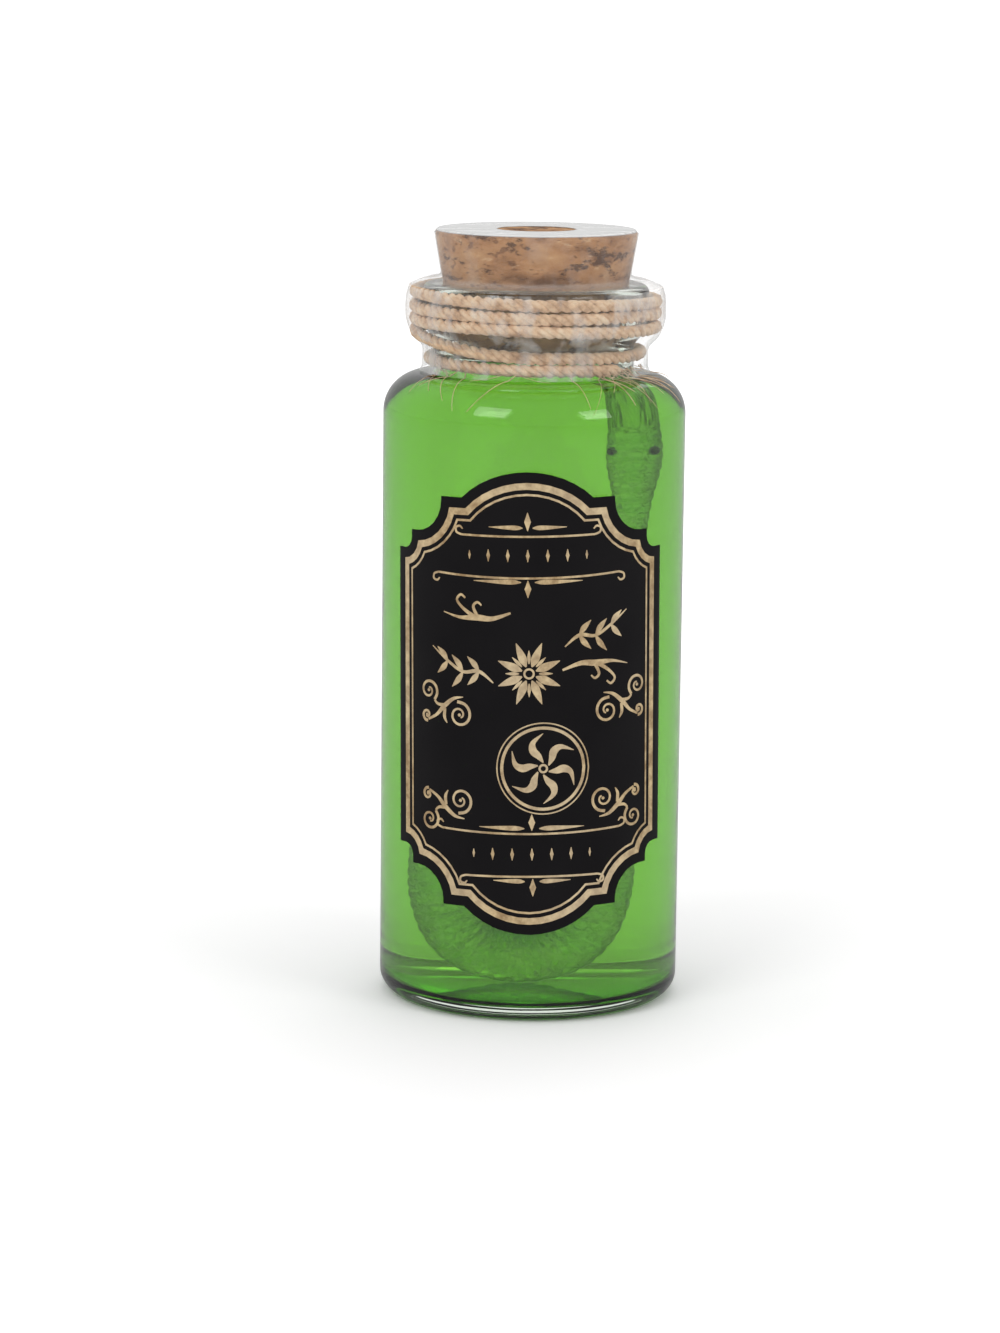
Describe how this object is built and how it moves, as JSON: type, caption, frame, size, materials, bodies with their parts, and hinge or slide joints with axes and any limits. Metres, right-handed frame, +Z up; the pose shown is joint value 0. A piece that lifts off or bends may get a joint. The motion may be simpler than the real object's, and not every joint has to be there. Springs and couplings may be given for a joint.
{
  "type": "poison bottle",
  "caption": "Round glass bottle filled with green liquid around a folded rubber snake, closed by a tapered cork under shrink film, with twine round its lip and a gilt-framed black label.",
  "frame": {"origin": "middle of the ring that the bottle stands on, at table height", "axes": "+Z up along the bottle's axis, -Y out through the middle of the label, +X to the right as the label is read"},
  "size_m": [0.05, 0.0502, 0.1281],
  "materials": {
    "clear_glass": "gloss",
    "liquid": "gloss",
    "snake_rubber": "satin",
    "cork": "matte",
    "jute": "matte",
    "film": "gloss",
    "label_paper": "satin",
    "gold_foil": "satin"
  },
  "bodies": {
    "bottle": {"glass_bottle": "clear_glass", "green_liquid": "liquid", "rubber_snake": "snake_rubber", "twine_wrap": "jute", "seal_skirt": "film", "paper_label": "label_paper", "foil_border": "gold_foil"},
    "stopper": {"cork_stopper": "cork", "seal_cap": "film"}
  },
  "joints": [
    {"name": "stopper_lift", "type": "slide", "parent": "bottle", "child": "stopper", "axis": [0, 0, 1], "range_m": [0, 0.025]}
  ]
}
